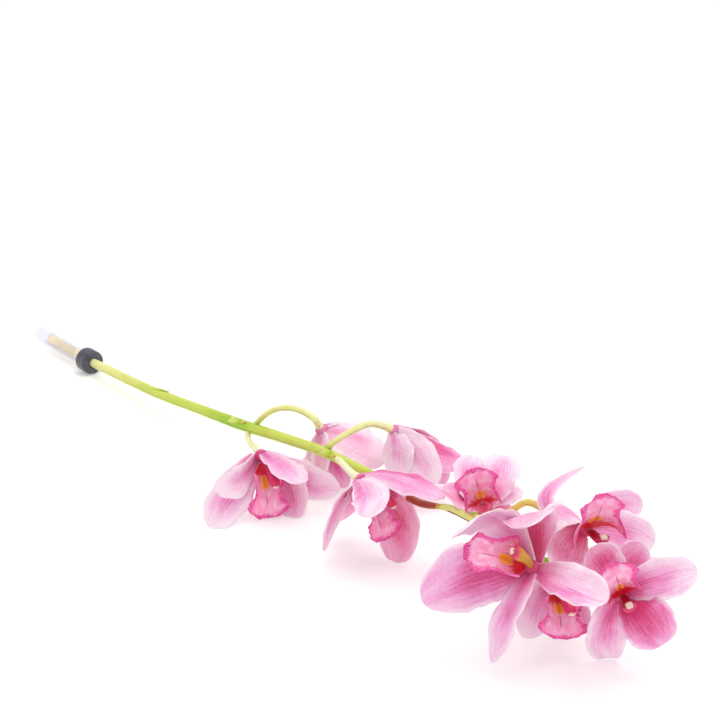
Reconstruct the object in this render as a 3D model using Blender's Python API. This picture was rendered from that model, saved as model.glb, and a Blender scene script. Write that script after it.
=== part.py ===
"""A cut cymbidium orchid stem lying on a table, with the water tube on its cut end.

Metres, +Z up. The stem runs along +X from the round end of the tube to the last bloom.
Lengths in the tables below are millimetres. Directions of petals are given as they are seen
from the front left of the flowers: right, up, and towards the one who looks.
"""
import math

import bmesh
import bpy
import numpy as np

MM = 0.001
GAP = 0.3

# How the flowers are looked at when directions are given
SEEN_AZIMUTH = math.radians(49.0)
SEEN_ELEVATION = math.radians(24.0)

# Water tube and its rubber cap, turned round an axis along X
TURNED_SIDES = 16
TUBE_START = -6.0
TUBE_END = 65.0
TUBE_RADIUS = 6.0
TUBE_WALL = 0.8
CAP_START = 61.0
CAP_END = 72.5
CAP_RADIUS = 8.8
CAP_CHAMFER = 1.6
DOME_LENGTH = 7.0
DOME_STEPS = 5
AXIS_HEIGHT = CAP_RADIUS * math.cos(math.pi / TURNED_SIDES)
WATER_END = 50.0
FIT = 0.35

# Rachis: centre line (x, y, z) and radius; the cut end stands in the tube
RACHIS = (
    ((14, 0, AXIS_HEIGHT), 3.2),
    ((40, 0, AXIS_HEIGHT), 3.2),
    ((67, 0, AXIS_HEIGHT), 3.2),
    ((94, 0, 9.9), 3.4),
    ((120, 0, 11.2), 3.4),
    ((157, 0, 13.8), 3.4),
    ((203, 0, 19.4), 3.4),
    ((248, 0, 25.0), 3.7),
    ((289, 0, 31.6), 3.4),
    ((328, 0, 37.4), 3.2),
    ((350, 0, 38.6), 3.0),
    ((372, 1, 39.0), 2.6),
    ((389, 4, 35.4), 2.4),
    ((407, 5, 34.0), 2.3),
    ((419, 3, 37.2), 2.2),
    ((432, 0, 42.6), 1.6),
    ((441, 0, 45.2), 2.2),
    ((455, 0, 45.8), 2.4),
    ((480, 2, 44.0), 2.2),
    ((504, 4, 41.5), 1.7),
    ((528, 8, 39.0), 1.2),
)
RACHIS_RINGS = 27
RACHIS_SIDES = 8
HOLE_RADIUS = 3.6

# Bracts that clasp the rachis: where each starts, which way it leans (y, z) and its length
BRACTS = ((150, (0.5, 1.0), 15), (239, (-0.6, 1.0), 17), (331, (-0.9, 0.8), 14), (474, (-0.5, 1.0), 12))
BRACT_STEPS = (0.0, 0.3, 0.6, 0.85, 1.0)
BRACT_WIDTH = 2.3
BRACT_TIP = 0.5
BRACT_DEPTH = 1.2
BRACT_LIFT = 1.5
BRACT_FLATNESS = 0.4

# Pedicels, with the ovary as their thicker end
PEDICEL_RADII = (1.9, 1.95, 2.1, 2.4, 2.7)
PEDICEL_STRAIGHT = 4.0
PEDICEL_TURN = 0.5
PEDICEL_RINGS = 10
PEDICEL_SIDES = 6

# Sizes that every bloom shares
BLADE = 1.0
TABLE_GAP = 0.1
TABLE_SOFTNESS = 0.6
BOSS_RADIUS = 3.7
ROOT_RING = 2.6
ROOT_SET_BACK = 0.8

# A tepal: how far out its belly lies, what is left of its width at its root and at its tip, and
# how its hollow grows and fades along it (its start, and its shares of s and s squared)
TEPAL_BELLY = 1.22
TEPAL_ROOT = 0.34
TEPAL_TIP = 0.07
TEPAL_CUP = (0.4, 2.6, -2.2)

# Lip: half width of its claw, then half width, place and reach along it of its two kinds of lobe
LIP_CLAW = 2.4
LIP_SIDE_LOBES = (13.0, 0.36, 0.23)
LIP_MIDDLE_LOBE = (11.0, 0.82, 0.19)
LIP_CURL = 0.35
LIP_CUP = 1.25
LIP_WAVE = 1.3
LIP_WAVE_TURNS = 34.0
LIP_WAVE_SHIFT = 1.3
LIP_STEPS = 40
LIP_ROUTE = ((5.2, 2.45), (9.5, 7.5), (15, 11.5), (21.5, 15.5), (27, 21), (29.5, 29))
COLUMN_ROUTE = ((4.2, 0.0), (10, 0.4), (16, 0.3), (21, -0.6), (24, -1.6), (25.8, -2.3), (26.8, -2.7))
COLUMN_RADII = (2.2, 2.5, 3.0, 3.6, 3.5, 2.6, 1.2)
COLUMN_FLATNESS = 0.8
COLUMN_SIDES = 8

# How finely the blades are divided, along and across
TEPAL_ROWS = (0, 0.15, 0.34, 0.55, 0.75, 0.91, 1.0)
TEPAL_COLUMNS = (-1, -0.5, 0, 0.5, 1)
LIP_ROWS = (0, 0.15, 0.29, 0.42, 0.54, 0.64, 0.73, 0.81, 0.88, 0.95, 1.0)
LIP_COLUMNS = (-1, -0.67, -0.33, 0, 0.33, 0.67, 1)

# Colours (linear), roughness, alpha
LOOKS = {
    "stem green": ((0.42, 0.58, 0.08), 0.45, 1.0),
    "petal pink": ((0.80, 0.36, 0.58), 0.5, 1.0),
    "lip magenta": ((0.75, 0.16, 0.34), 0.5, 1.0),
    "column red": ((0.62, 0.05, 0.12), 0.45, 1.0),
    "clear plastic": ((0.90, 0.94, 0.96), 0.08, 0.3),
    "black rubber": ((0.02, 0.02, 0.025), 0.55, 1.0),
    "water": ((0.93, 0.97, 0.98), 0.02, 0.2),
}

# Every bloom by its name
BLOOMS = {}


def unit(vector):
    return np.asarray(vector, float) / np.linalg.norm(vector)


def seen(right, up, near):
    """The part's direction for a direction given as it is seen."""
    ca, sa = math.cos(SEEN_AZIMUTH), math.sin(SEEN_AZIMUTH)
    ce, se = math.cos(SEEN_ELEVATION), math.sin(SEEN_ELEVATION)
    across = np.array([ca, sa, 0.0])
    level = np.array([-sa, ca, 0.0])
    height = np.array([0.0, 0.0, 1.0])
    return across * right + (level * se + height * ce) * up + (height * se - level * ce) * near


def bloom(name, at, facing, dorsal, lip, leaves, passes, tepals):
    """A bloom: the point where its tepals meet, the way it faces, where its dorsal side points,
    its lip's length, side lobes and middle lobe against the usual, the rachis x that its
    pedicel leaves from, the points that the pedicel passes, and its tepals.
    """
    facing = unit(seen(*facing))
    dorsal = seen(*dorsal)
    dorsal = unit(dorsal - facing * dorsal.dot(facing))
    side = np.cross(dorsal, facing)
    BLOOMS[name] = dict(at=np.array(at, float), facing=facing, dorsal=dorsal, side=side, lip=lip,
                        leaves=leaves, passes=passes, tepals=tepals)


def tepal(name, middle, tip, face, width=11.0, cup=0.4, blunt=0.47):
    """A tepal by its middle and its tip, as seen from where the tepals meet, and its inner side.
    The smaller blunt is, the rounder are its ends.
    """
    return dict(name=name, middle=middle, tip=tip, face=face, width=width, cup=cup, blunt=blunt)


bloom("a", (303, -26, 33), (0.42, -0.6, 0.68), (0.33, 0.8, 0.5), (0.92, 1.0, 1.1),
      258, [(261, -4, 23), (270, -9, 23), (283, -16, 28)], [
    tepal("dorsal", (15, -4, 13), (27, -15, 24), (-0.1, -0.8, -0.4), 11, 0.5),
    tepal("petal_near", (-12, -14, 15), (-25, -14, 26), (0.1, -0.35, 0.9), 10),
    tepal("sepal_near", (-17, -23, 10), (-30, -41, 16), (0.3, 0.1, 0.9), 13),
    tepal("sepal_far", (17, -22, -3), (15, -41, 0), (-0.3, 0.2, 0.9), 12.5),
    tepal("petal_far", (24, -13, -3), (48, -21, -4), (-0.2, -0.3, 0.9), 12),
])
bloom("b", (307, 19, 37), (0.1, -0.5, -0.86), (0.3, 0.9, 0.2), (0.75, 0.7, 0.65),
      261, [(270, 4, 39), (281, 8, 46), (293, 12, 48), (302, 15.5, 45)], [
    tepal("dorsal", (21, -7, 4), (40, -19, 2), (0.3, -0.7, -0.6), 16),
    tepal("petal_far", (9, 4, -14), (15, 2, -34), (0.1, -0.9, -0.2), 9),
    tepal("petal_near", (-1, -15, 8), (-5, -34, 8), (0.6, -0.2, -0.7), 8),
    tepal("sepal_far", (8, -19, 0), (15, -36, 0), (-0.3, 0.2, 0.9), 8),
    tepal("sepal_near", (-3, -19, 2), (-4, -37, -2), (0.1, 0.2, -0.9), 8),
])
bloom("c", (351, 40, 46), (0.7, -0.6, -0.38), (0.7, 0.7, 0.0), (0.85, 0.85, 0.8),
      332, [(337, 3, 45), (342, 12, 51), (344, 25, 53)], [
    tepal("dorsal", (24, -13, 1), (43, -18.5, -6), (-0.1, -0.55, -0.75), 10.5, 0.5),
    tepal("petal_near", (14, -14, 8), (23, -33, 8), (0.2, -0.2, -0.9), 11, 0.5),
    tepal("sepal_near", (1, -13, 8), (1, -30, 2), (0.4, -0.1, -0.9), 11, 0.5),
    tepal("petal_far", (22, -12, -22), (29, -36, -34), (-0.2, -0.3, 0.9), 10),
    tepal("sepal_far", (4, -8, -24), (7, -16, -44), (0, 0.2, 0.9), 10),
])
bloom("d", (385, -17, 46), (0.75, -0.45, 0.48), (0.35, 0.85, 0.25), (0.86, 1.2, 1.42),
      342, [(350, -3, 40), (362, -9, 43)], [
    tepal("dorsal", (23, 2, 9), (46, -8, 26), (-0.1, -0.85, -0.5), 11, 0.5),
    tepal("petal_near", (5, -6, 23), (0, -17, 34), (0.2, -0.4, -0.9)),
    tepal("petal_far", (-6, -12, -10), (-12, -26, -28), (0.5, 0.3, 0.8)),
    tepal("sepal_near", (-14, -17, 0), (-21, -41, -6), (0.85, 0.2, 0.45), 7),
    tepal("sepal_far", (20, -22, -10), (20.5, -48, -5), (-0.3, 0.1, 0.95), 13.5, 0.4, 0.34),
])
bloom("e", (453, 15, 44), (-0.1, 0.12, 0.98), (0.25, -0.95, 0.15), (0.75, 1.05, 0.9),
      438, [(444, 6, 41)], [
    tepal("dorsal", (11, -4, -8), (22, -5, -22), (-0.2, 0.5, 0.8), 10),
    tepal("petal_right", (11, 9, -10), (22, 10, -26), (-0.3, 0.2, 0.9), 10, 0.4, 0.7),
    tepal("sepal_right", (9, 19, -8), (11.5, 29, -22), (-0.2, -0.2, 0.95), 11),
    tepal("sepal_left", (-6, 16, -6), (-4.5, 28.5, -18), (0.2, -0.4, 0.9), 12),
    tepal("petal_left", (-12, 5, 0), (-24, 11, 8), (0.2, 0.7, 0.6), 10, 0.5),
])
bloom("f", (520, -18, 51), (-0.38, 0.42, 0.82), (0.92, 0.1, 0.37), (0.95, 1.1, 0.72),
      484, [(498, -2, 41)], [
    tepal("dorsal", (17, -5, 24), (32, -11.5, 40), (-0.2, 0.5, 0.8)),
    tepal("petal_up", (-1, 26, 0), (-9, 22, 22), (0, -0.76, 0.65), 14, 0.3),
    tepal("petal_down", (-12, -20, 12), (-21, -48.5, 0), (-0.85, 0.1, 0.5), 10.5, 0.4, 0.6),
    tepal("sepal_down", (-28.5, -3.5, 0), (-56, -18.5, -6), (-0.1, 0.35, 0.9), 17.5, 0.3),
    tepal("sepal_up", (-19, 25, -1), (-42, 17, 16), (-0.3, -0.6, 0.75), 13, 0.5),
])
bloom("g", (520, 23, 58), (0.2, -0.17, 0.96), (0.1, -0.98, -0.16), (0.9, 1.5, 0.85),
      464, [(471, 9, 49), (483, 15, 61), (496, 18, 59.5), (508, 19, 51)], [
    tepal("dorsal", (-11.5, -10.5, 4.5), (-15.5, -21.5, 11), (0.4, 0.2, 0.8), 14.5),
    tepal("petal_right", (18.5, -3, -9), (38, -9, -14), (-0.2, 0.1, 0.95), 12, 0.3, 0.42),
    tepal("sepal_right", (15, 9.5, -14), (33, 9.5, -22), (-0.2, -0.1, 0.95), 9.5, 0.3, 0.38),
    tepal("sepal_left", (-21, 15, -9), (2, 31, -26), (0.3, -0.4, -0.8), 5),
    tepal("petal_left", (-15, 10, 11), (-30, -5, 14), (0.3, -0.5, -0.7), 9, 0.5),
])
bloom("h", (553, 14.5, 36.5), (0.02, -0.15, 0.99), (0.42, -0.9, -0.13), (0.95, 0.95, 0.85),
      512, [(530, 12, 36), (542, 13, 33)], [
    tepal("dorsal", (10, -11, 14), (18, -23.5, 12), (-0.3, 0.3, 0.9), 14),
    tepal("petal_right", (16, 10, 14), (36, 14, 12), (-0.3, -0.1, 0.95), 11.3),
    tepal("petal_left", (-8, -18, -1), (-4, -36.5, -13), (0.1, 0.4, 0.9)),
    tepal("sepal_right", (4, 16, 2), (11, 26, 4), (-0.2, -0.5, 0.85)),
    tepal("sepal_left", (-10, 17, 5), (-18, 26, 13), (0.3, -0.5, 0.8)),
])
bloom("i", (519, 0, 32), (0.28, -0.33, 0.9), (0.22, 0.94, 0.27), (0.65, 1.1, 1.15),
      498, [(508, 7, 37)], [
    tepal("dorsal", (10, 1, -16), (20, -6, -26), (-0.3, 0.2, 0.9), 9),
    tepal("petal_right", (10, -14, 0), (16, -24, 4), (-0.3, 0.2, 0.9), 9),
    tepal("petal_left", (-9, -4, -8), (-18, -8, -20), (0.3, 0.2, 0.9), 10),
    tepal("sepal_right", (4, -12, -16), (8, -21, -34), (0.0, 0.4, 0.9), 9),
    tepal("sepal_left", (-10, -11, 6), (-15, -26, 9), (0.3, 0.1, 0.9), 11),
])


def smooth_path(points, count):
    """Points along a smooth curve through the given ones, ends included."""
    pts = [np.asarray(p, float) for p in points]
    pts = [2 * pts[0] - pts[1]] + pts + [2 * pts[-1] - pts[-2]]
    spans = len(pts) - 3
    out = []
    for k in range(count):
        at = k / (count - 1) * spans
        i = min(int(at), spans - 1)
        t = at - i
        p0, p1, p2, p3 = pts[i:i + 4]
        out.append(0.5 * (2 * p1 + (p2 - p0) * t + (2 * p0 - 5 * p1 + 4 * p2 - p3) * t ** 2
                          + (3 * p1 - p0 - 3 * p2 + p3) * t ** 3))
    return np.array(out)


def new_object(name, verts, faces):
    mesh = bpy.data.meshes.new(name)
    mesh.from_pydata([tuple(float(c) * MM for c in v) for v in verts], [], faces)
    mesh.update()
    obj = bpy.data.objects.new(name, mesh)
    bpy.context.scene.collection.objects.link(obj)
    return obj


def blade(name, surface, rows, columns):
    """A closed blade round surface(s, v); both faces are split along the same diagonals."""
    s, v = np.meshgrid(rows, columns, indexing="ij")
    middle = surface(s, v)
    step = 1e-3
    along = surface(np.clip(s + step, 0, 1), v) - surface(np.clip(s - step, 0, 1), v)
    across = surface(s, v + step) - surface(s, v - step)
    normal = np.cross(across, along)
    normal /= np.linalg.norm(normal, axis=2, keepdims=True)
    n, m = s.shape
    verts = np.concatenate([(middle + normal * BLADE / 2).reshape(-1, 3),
                            (middle - normal * BLADE / 2).reshape(-1, 3)])
    under = n * m
    faces = []
    for i in range(n - 1):
        for j in range(m - 1):
            a, b, c, d = i * m + j, i * m + j + 1, (i + 1) * m + j + 1, (i + 1) * m + j
            faces += [(a, b, c), (a, c, d)]
            faces += [(a + under, c + under, b + under), (a + under, d + under, c + under)]
    rim = list(range(m)) + [i * m + m - 1 for i in range(1, n)]
    rim += [(n - 1) * m + j for j in range(m - 2, -1, -1)] + [i * m for i in range(n - 2, 0, -1)]
    for a, b in zip(rim, rim[1:] + rim[:1]):
        faces += [(a, a + under, b + under), (a, b + under, b)]
    return new_object(name, verts, faces)


def table_clear(points):
    """Tissue that would sink into the table lies flat on it instead."""
    floor = BLADE / 2 + TABLE_GAP
    height = (points[..., 2] - floor) / TABLE_SOFTNESS
    out = points.copy()
    out[..., 2] = floor + TABLE_SOFTNESS * np.logaddexp(0, height)
    return out


def tepal_outline(t, width, blunt):
    """Half width along a tepal: narrow root, widest past the middle, rounded tip."""
    body = np.clip(np.sin(np.pi * np.clip(t, 0, 1) ** TEPAL_BELLY), 0, 1) ** blunt
    return width * np.sqrt(body ** 2 + (TEPAL_ROOT * (1 - t)) ** 2 + TEPAL_TIP ** 2)


def tepal_surface(bl, spec):
    """A tepal round a bent midline, hollow towards its inner side."""
    middle = bl["at"] + seen(*spec["middle"])
    tip = bl["at"] + seen(*spec["tip"])
    out = middle - bl["at"]
    out = unit(out - bl["facing"] * out.dot(bl["facing"]))
    start = bl["at"] + out * ROOT_RING - bl["facing"] * ROOT_SET_BACK
    pull = 2 * middle - (start + tip) / 2
    side = unit(np.cross(tip - start, seen(*spec["face"])))

    def surface(s, v):
        t = s[..., None]
        centre = (1 - t) ** 2 * start + 2 * t * (1 - t) * pull + t ** 2 * tip
        tangent = 2 * (1 - t) * (pull - start) + 2 * t * (tip - pull)
        tangent = tangent / np.linalg.norm(tangent, axis=-1, keepdims=True)
        across = side - tangent * (tangent * side).sum(-1, keepdims=True)
        across = across / np.linalg.norm(across, axis=-1, keepdims=True)
        inner = np.cross(across, tangent)
        half = tepal_outline(s, spec["width"], spec["blunt"])
        cup = spec["cup"] * (TEPAL_CUP[0] + TEPAL_CUP[1] * s + TEPAL_CUP[2] * s * s)
        x = half * np.sin(cup * v) / cup
        z = half * (1 - np.cos(cup * v)) / cup
        return table_clear(centre + across * x[..., None] + inner * z[..., None])
    return surface


def lip_surface(bl):
    """The lip: a claw, two side lobes that rise beside the column, and a waved middle lobe."""
    ahead_way, up_way, side_way = bl["facing"], bl["dorsal"], bl["side"]
    length, sides, middle = bl["lip"]
    side_half, side_place, side_reach = LIP_SIDE_LOBES
    front_half, front_place, front_reach = LIP_MIDDLE_LOBE
    route = smooth_path([(ahead, -below) for ahead, below in LIP_ROUTE], LIP_STEPS + 1)
    route = route[0] + (route - route[0]) * length
    runs = np.gradient(route, axis=0)

    def surface(s, v):
        at = np.clip(s, 0, 1) * LIP_STEPS
        low = np.minimum(at.astype(int), LIP_STEPS - 1)
        mix = (at - low)[..., None]
        flat = route[low] * (1 - mix) + route[low + 1] * mix
        run = runs[low] * (1 - mix) + runs[low + 1] * mix
        run = run / np.linalg.norm(run, axis=-1, keepdims=True)
        centre = bl["at"] + ahead_way * flat[..., :1] + up_way * flat[..., 1:]
        inner = up_way * run[..., :1] - ahead_way * run[..., 1:]
        lobes = np.exp(-((s - side_place) / side_reach) ** 2)
        front = np.exp(-((s - front_place) / front_reach) ** 2)
        rounded = np.sqrt(np.clip((1.02 - s) / 0.2, 0, 1))
        half = LIP_CLAW + sides * side_half * lobes + middle * front_half * front * rounded
        curl = LIP_CURL + LIP_CUP * lobes
        x = half * np.sin(curl * v) / curl
        z = half * (1 - np.cos(curl * v)) / curl
        swing = np.sin(LIP_WAVE_TURNS * s + LIP_WAVE_SHIFT * np.sign(v))
        wave = LIP_WAVE * front * np.abs(v) ** 3 * swing
        return table_clear(centre + side_way * x[..., None] + inner * (z + wave)[..., None])
    return surface


def loft(name, centres, radii, sides, flat=1.0, up=(0, 0, 1)):
    """A closed tube along centres; flat squashes it along up."""
    centres = np.asarray(centres, float)
    n = len(centres)
    verts, faces = [], []
    for i in range(n):
        tangent = unit(centres[min(i + 1, n - 1)] - centres[max(i - 1, 0)])
        side = unit(np.cross(tangent, up))
        high = np.cross(side, tangent)
        for k in range(sides):
            a = 2 * math.pi * k / sides
            verts.append(centres[i] + (side * math.cos(a) + high * math.sin(a) * flat) * radii[i])
    for i in range(n - 1):
        for k in range(sides):
            a, b = i * sides + k, i * sides + (k + 1) % sides
            faces.append((a, a + sides, b + sides, b))
    faces.append(tuple(range(sides)))
    faces.append(tuple(reversed(range((n - 1) * sides, n * sides))))
    return new_object(name, verts, faces)


def turned(name, profile):
    """A body turned round the tube's axis from (x, radius) points; radius 0 is a point on the axis.
    A profile with no point on the axis closes on itself.
    """
    rings, verts, faces = [], [], []
    for x, r in profile:
        count = TURNED_SIDES if r else 1
        rings.append([len(verts) + k % count for k in range(TURNED_SIDES)])
        for k in range(count):
            a = 2 * math.pi * (k + 0.5) / TURNED_SIDES
            verts.append((x, r * math.sin(a), AXIS_HEIGHT + r * math.cos(a)))
    follow = zip(rings, rings[1:] + rings[:1]) if profile[0][1] else zip(rings, rings[1:])
    for low, high in follow:
        for k in range(TURNED_SIDES):
            j = (k + 1) % TURNED_SIDES
            corners = (low[k], high[k], high[j], low[j])
            faces.append(tuple(dict.fromkeys(corners)))
    return new_object(name, verts, faces)


def fuse(name, pieces):
    """One solid from pieces that run into each other."""
    body, rest = pieces[0], pieces[1:]
    group = bpy.data.collections.new(name + "_pieces")
    for obj in rest:
        group.objects.link(obj)
    mod = body.modifiers.new("join", "BOOLEAN")
    mod.operation = "UNION"
    mod.operand_type = "COLLECTION"
    mod.collection = group
    mod.solver = "EXACT"
    depsgraph = bpy.context.evaluated_depsgraph_get()
    mesh = bpy.data.meshes.new_from_object(body.evaluated_get(depsgraph))
    body.modifiers.clear()
    body.data = mesh
    body.name = mesh.name = name
    for obj in rest:
        bpy.data.objects.remove(obj)
    bpy.data.collections.remove(group)
    return body


def column_solid(name, bl):
    """The column arches over the lip and ends in the round anther cap."""
    centres = [bl["at"] + bl["facing"] * a + bl["dorsal"] * b for a, b in COLUMN_ROUTE]
    return loft(name, centres, COLUMN_RADII, COLUMN_SIDES, COLUMN_FLATNESS, bl["dorsal"])


def boss_solid(name, bl):
    """The round heart of the bloom, which the tepals grow from."""
    bm = bmesh.new()
    bmesh.ops.create_icosphere(bm, subdivisions=2, radius=BOSS_RADIUS * MM)
    bmesh.ops.translate(bm, verts=bm.verts, vec=[float(c) * MM for c in bl["at"]])
    mesh = bpy.data.meshes.new(name)
    bm.to_mesh(mesh)
    bm.free()
    obj = bpy.data.objects.new(name, mesh)
    bpy.context.scene.collection.objects.link(obj)
    return obj


def bloom_pieces(name, bl):
    """The tepals and the boss that joins them, the lip, and the column."""
    tepals = [blade(f"{name}_{spec['name']}", tepal_surface(bl, spec), TEPAL_ROWS, TEPAL_COLUMNS)
              for spec in bl["tepals"]]
    boss = boss_solid(f"{name}_boss", bl)
    lip = blade(f"bloom_{name}_lip", lip_surface(bl), LIP_ROWS, LIP_COLUMNS)
    column = column_solid(f"bloom_{name}_column", bl)
    return tepals, boss, lip, column


def rachis_line():
    return smooth_path([p for p, r in RACHIS], RACHIS_RINGS)


def rachis_at(x):
    """Centre and radius of the rachis at a given x."""
    line = rachis_line()
    radius = np.interp(x, [p[0] for p, r in RACHIS], [r for p, r in RACHIS])
    y, z = (np.interp(x, line[:, 0], line[:, k]) for k in (1, 2))
    return np.array([x, y, z]), radius


def bract_solid(name, x, lean, length):
    """A small scale leaf: rooted in the rachis, its tip just off it."""
    lean = unit((0, *lean))
    centres, radii = [], []
    for t in BRACT_STEPS:
        at, radius = rachis_at(x + length * t)
        centres.append(at + lean * (radius - BRACT_DEPTH + BRACT_LIFT * t))
        radii.append(BRACT_TIP + BRACT_WIDTH * (1 - t ** 2))
    return loft(name, centres, radii, PEDICEL_SIDES, BRACT_FLATNESS, lean)


def pedicel_solid(name, bl):
    """From the heart of the rachis to just behind the boss."""
    start, _ = rachis_at(bl["leaves"])
    passes = [np.array(p, float) for p in bl["passes"]]
    approach = unit(unit(bl["at"] - passes[-1]) + PEDICEL_TURN * bl["facing"])
    end = bl["at"] - approach * (BOSS_RADIUS + 2 * GAP)
    route = smooth_path([start] + passes + [end - approach * PEDICEL_STRAIGHT, end], PEDICEL_RINGS)
    spread = np.linspace(0, 1, PEDICEL_RINGS)
    radii = np.interp(spread, np.linspace(0, 1, len(PEDICEL_RADII)), PEDICEL_RADII)
    return loft(name, route, radii, PEDICEL_SIDES)


def stem_pieces():
    line = rachis_line()
    radii = np.interp(line[:, 0], [p[0] for p, r in RACHIS], [r for p, r in RACHIS])
    pieces = [loft("rachis", line, radii, RACHIS_SIDES)]
    pieces += [pedicel_solid(f"{name}_pedicel", bl) for name, bl in BLOOMS.items()]
    pieces += [bract_solid(f"bract_{k}", *spec) for k, spec in enumerate(BRACTS)]
    return pieces


def dome(start, length, radius):
    """The profile of a round end, from the axis to its full radius."""
    angles = np.linspace(0, math.pi / 2, DOME_STEPS)
    return [(start + length * (1 - math.cos(a)), radius * math.sin(a)) for a in angles]


def tube_pieces():
    """The clear tube, the water in it, and the rubber cap with the stem's hole."""
    inside = TUBE_RADIUS - TUBE_WALL
    end = TUBE_START + DOME_LENGTH
    hollow = dome(TUBE_START + TUBE_WALL, DOME_LENGTH - TUBE_WALL, inside)
    tube = turned("water_tube", dome(TUBE_START, DOME_LENGTH, TUBE_RADIUS)
                  + [(TUBE_END, TUBE_RADIUS), (TUBE_END, inside)] + hollow[::-1])
    wet = inside - FIT
    bottom = TUBE_START + TUBE_WALL + FIT
    cut = RACHIS[0][0][0] - FIT
    water = turned("water", dome(bottom, end - bottom, wet)
                   + [(WATER_END, wet), (WATER_END, HOLE_RADIUS), (cut, HOLE_RADIUS), (cut, 0)])
    seat = TUBE_RADIUS + FIT
    shoulder = TUBE_END + FIT
    cap = turned("rubber_cap", [
        (CAP_START, CAP_RADIUS - CAP_CHAMFER), (CAP_START + CAP_CHAMFER, CAP_RADIUS),
        (CAP_END - CAP_CHAMFER, CAP_RADIUS), (CAP_END, CAP_RADIUS - CAP_CHAMFER),
        (CAP_END, HOLE_RADIUS), (shoulder, HOLE_RADIUS), (shoulder, seat), (CAP_START, seat),
    ])
    return tube, water, cap


def material(name):
    colour, roughness, alpha = LOOKS[name]
    mat = bpy.data.materials.new(name)
    mat.use_nodes = True
    shader = mat.node_tree.nodes["Principled BSDF"]
    shader.inputs["Base Color"].default_value = (*colour, 1)
    shader.inputs["Roughness"].default_value = roughness
    shader.inputs["Alpha"].default_value = alpha
    mat.diffuse_color = (*colour, 1)
    return mat


def paint(obj, look, smooth=40.0):
    obj.data.materials.clear()
    obj.data.materials.append(material(look))
    obj.data.shade_smooth()
    obj.data.set_sharp_from_angle(angle=math.radians(smooth))


def stand_on_origin(objects):
    """Puts the middle of the underside of everything on the origin."""
    points = [v.co for obj in objects for v in obj.data.vertices]
    low = [min(p[k] for p in points) for k in range(3)]
    high = [max(p[k] for p in points) for k in range(3)]
    shift = (-(low[0] + high[0]) / 2, -(low[1] + high[1]) / 2, -low[2])
    for obj in objects:
        for v in obj.data.vertices:
            v.co.x += shift[0]
            v.co.y += shift[1]
            v.co.z += shift[2]


def clear_scene():
    for obj in list(bpy.data.objects):
        bpy.data.objects.remove(obj)


def build():
    clear_scene()
    made = []
    for name, bl in BLOOMS.items():
        tepals, boss, lip, column = bloom_pieces(name, bl)
        body = fuse(f"bloom_{name}_tepals", [boss] + tepals)
        for obj, look in ((body, "petal pink"), (lip, "lip magenta"), (column, "column red")):
            paint(obj, look)
            made.append(obj)
    stem = fuse("stem", stem_pieces())
    tube, water, cap = tube_pieces()
    plain = ((stem, "stem green"), (tube, "clear plastic"), (water, "water"), (cap, "black rubber"))
    for obj, look in plain:
        paint(obj, look)
        made.append(obj)
    stand_on_origin(made)


build()
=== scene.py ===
"""The looks of a cut cymbidium orchid stem that lies on a pale table.

Lengths in the tables are millimetres from the design's own zero: the stem's cut end is at x = 14,
inside the water tube, and the table is z = 0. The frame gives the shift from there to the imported
part. Directions of petals are given as they are seen: right, up, and towards the one who looks.
Lengths in materials and in the surroundings are metres.
"""
import math
from types import SimpleNamespace

import bpy
import numpy as np
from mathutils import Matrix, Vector


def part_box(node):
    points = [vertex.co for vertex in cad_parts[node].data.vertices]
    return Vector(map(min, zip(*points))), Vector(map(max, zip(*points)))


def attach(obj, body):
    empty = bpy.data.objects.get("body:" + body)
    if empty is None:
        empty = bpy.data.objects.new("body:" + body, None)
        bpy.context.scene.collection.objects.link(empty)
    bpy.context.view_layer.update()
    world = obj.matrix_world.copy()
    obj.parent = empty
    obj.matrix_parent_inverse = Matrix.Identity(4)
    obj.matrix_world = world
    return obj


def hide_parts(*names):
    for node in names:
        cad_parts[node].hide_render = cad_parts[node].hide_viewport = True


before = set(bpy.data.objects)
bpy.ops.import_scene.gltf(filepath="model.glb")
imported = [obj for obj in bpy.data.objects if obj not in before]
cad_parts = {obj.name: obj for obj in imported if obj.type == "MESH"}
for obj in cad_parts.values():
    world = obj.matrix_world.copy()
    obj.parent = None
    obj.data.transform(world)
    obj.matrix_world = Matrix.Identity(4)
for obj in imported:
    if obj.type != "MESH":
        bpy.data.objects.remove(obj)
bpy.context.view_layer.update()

MM = 0.001

# How the flowers are looked at when directions are given; the camera looks the same way
SEEN_AZIMUTH = math.radians(49.0)
SEEN_ELEVATION = math.radians(24.0)
CAMERA_PLACE = (993.0, -546.0, 480.0)

# Water tube and its rubber cap, turned round an axis along X; the cap's solid has flat sides
CAD_SIDES = 16
TURNED_SIDES = 64
TUBE_START = -6.0
TUBE_END = 65.0
TUBE_RADIUS = 5.95
TUBE_WALL = 0.8
CAP_START = 61.0
CAP_END = 72.5
CAP_RADIUS = 8.8
CAP_ROUNDING = 4.2
BORE_ROUNDING = 0.6
SEAT_ROUNDING = 0.3
ROUNDING_STEPS = 6
DOME_LENGTH = 7.0
DOME_STEPS = 12
AXIS_HEIGHT = CAP_RADIUS * math.cos(math.pi / CAD_SIDES)
WATER_END = 50.0
FIT = 0.35
HOLE_RADIUS = 3.6

# A rounding takes at most one part in this many of the edges that meet at its corner
ROUNDING_LIMIT = 2.2

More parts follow.
